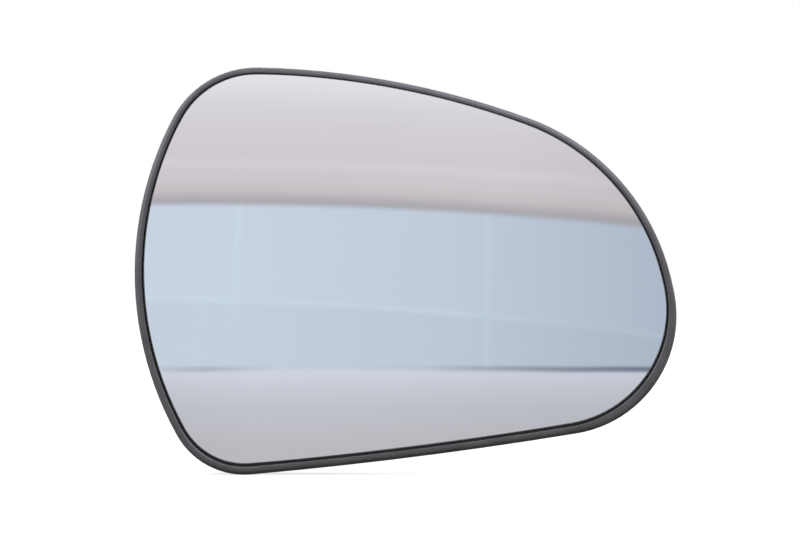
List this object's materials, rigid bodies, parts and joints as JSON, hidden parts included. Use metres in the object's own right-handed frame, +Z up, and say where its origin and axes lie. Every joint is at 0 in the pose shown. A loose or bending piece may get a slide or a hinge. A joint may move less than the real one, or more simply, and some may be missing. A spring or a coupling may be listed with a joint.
{
  "type": "car door mirror glass",
  "caption": "Convex door mirror glass bonded into a moulded holder with a rounded rim, a ribbed back, heater terminals and a snap ring for the adjuster.",
  "frame": {"origin": "on the clip axis, at the mouth of the straight wall of the pilot bore in the back of the holder", "axes": "+X to the right as seen from the front, +Y out of the back along the clip axis, +Z up as in the picture; the glass faces -Y"},
  "size_m": [0.1721, 0.0163, 0.1294],
  "materials": {
    "silvered_glass": "polished, silvered behind",
    "heater_film": "matt film",
    "holder_plastic": "satin, fine moulded grain",
    "tinned_brass": "tinned"
  },
  "bodies": {
    "root": {"mirror_glass": "silvered_glass", "heater_pad": "heater_film", "backing_plate": "holder_plastic", "heater_terminal_upper": "tinned_brass", "heater_terminal_lower": "tinned_brass"}
  },
  "joints": []
}
